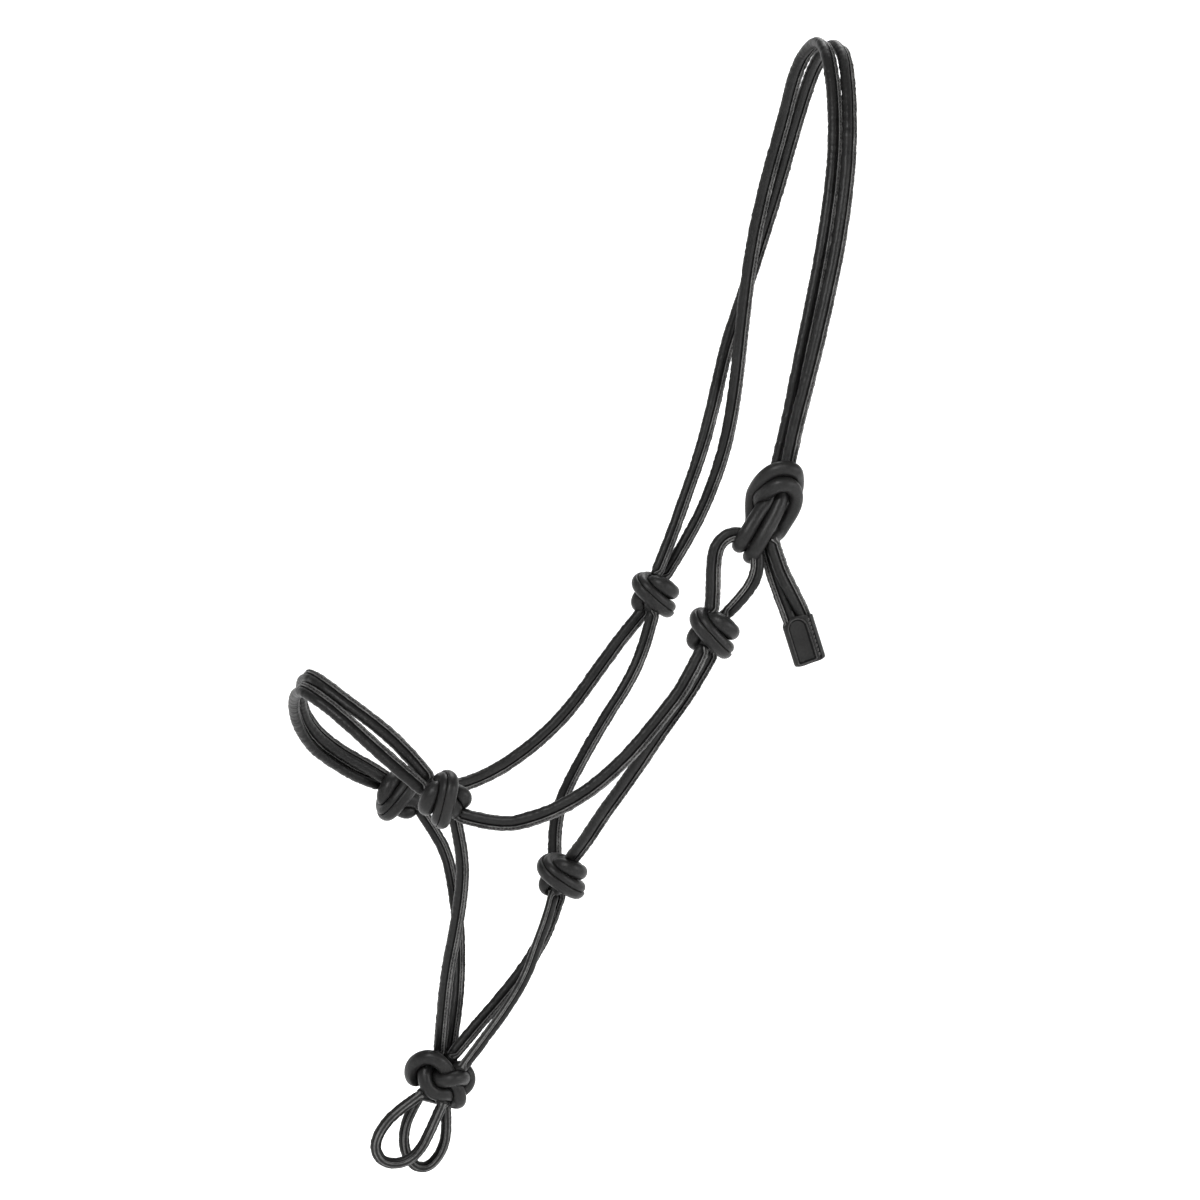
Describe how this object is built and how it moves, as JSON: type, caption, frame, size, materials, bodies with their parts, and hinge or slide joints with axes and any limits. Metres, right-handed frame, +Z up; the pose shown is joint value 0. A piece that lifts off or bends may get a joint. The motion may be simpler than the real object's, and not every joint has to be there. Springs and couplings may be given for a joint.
{
  "type": "rope halter",
  "caption": "Rope halter of black rolled leather cord: knotted noseband, cheek, throat and chin strands, lead loops under the chin, and a crown tied off beside the near cheek.",
  "frame": {"origin": "inside of the top of the crown, where it rests on the poll behind the ears", "axes": "+Z up, the muzzle points along -X, and -Y is the near (left) side, where the crown is tied"},
  "size_m": [0.4131, 0.234, 0.8404],
  "materials": {
    "rolled_leather": "black rolled leather, satin, stitched along a raised seam",
    "knotted_leather": "black leather pressed smooth in the knots, satin",
    "tab_leather": "black pressed leather, satin",
    "filler": "undyed twisted cotton cord",
    "thread": "waxed black thread"
  },
  "bodies": {
    "crown": {"crown_front_cord": "rolled_leather", "crown_rear_cord": "rolled_leather", "tie_knot": "knotted_leather", "tie_loop": "rolled_leather", "crown_front_cord_core": "filler", "crown_rear_cord_core": "filler", "tie_loop_core": "filler"},
    "headstall": {"near_cheek_knot": "knotted_leather", "far_cheek_knot": "knotted_leather", "near_cheek_cord": "rolled_leather", "far_cheek_cord": "rolled_leather", "near_throat_cord": "rolled_leather", "far_throat_cord": "rolled_leather", "throat_knot": "knotted_leather", "near_jaw_cord": "rolled_leather", "far_jaw_cord": "rolled_leather", "near_nose_knot": "knotted_leather", "far_nose_knot": "knotted_leather", "near_chin_cord": "rolled_leather", "far_chin_cord": "rolled_leather", "chin_knot": "knotted_leather", "near_cheek_cord_core": "filler", "far_cheek_cord_core": "filler", "near_throat_cord_core": "filler", "far_throat_cord_core": "filler", "near_jaw_cord_core": "filler", "far_jaw_cord_core": "filler", "near_chin_cord_core": "filler", "far_chin_cord_core": "filler"},
    "noseband": {"noseband_upper_cord": "rolled_leather", "noseband_lower_cord": "rolled_leather", "noseband_upper_cord_core": "filler", "noseband_lower_cord_core": "filler"},
    "near_loop": {"near_lead_loop": "rolled_leather", "near_lead_loop_core": "filler"},
    "far_loop": {"far_lead_loop": "rolled_leather", "far_lead_loop_core": "filler"},
    "tail": {"tail_left_cord": "rolled_leather", "tail_right_cord": "rolled_leather", "tab_sleeve": "tab_leather", "tab_patch": "tab_leather", "tab_stitches": "thread", "tail_left_cord_core": "filler", "tail_right_cord_core": "filler"}
  },
  "joints": [
    {"name": "cheek_hinge", "type": "hinge", "parent": "crown", "child": "headstall", "pos_m": [-0.111, -0.1, -0.423], "axis": [0.015, 0.9971, 0.0748], "range_deg": [-45, 80]},
    {"name": "nose_hinge", "type": "hinge", "parent": "headstall", "child": "noseband", "pos_m": [-0.305, -0.074, -0.539], "axis": [-0.0463, 0.9926, -0.1125], "range_deg": [-60, 60]},
    {"name": "near_loop_swing", "type": "hinge", "parent": "headstall", "child": "near_loop", "pos_m": [-0.293, 0, -0.757], "axis": [0, 1, 0], "range_deg": [-30, 30]},
    {"name": "far_loop_swing", "type": "hinge", "parent": "headstall", "child": "far_loop", "pos_m": [-0.293, 0, -0.757], "axis": [0, 1, 0], "range_deg": [-30, 30]},
    {"name": "tail_swing", "type": "hinge", "parent": "crown", "child": "tail", "pos_m": [-0.078, -0.098, -0.35], "axis": [0, 1, 0], "range_deg": [-45, 8]}
  ]
}
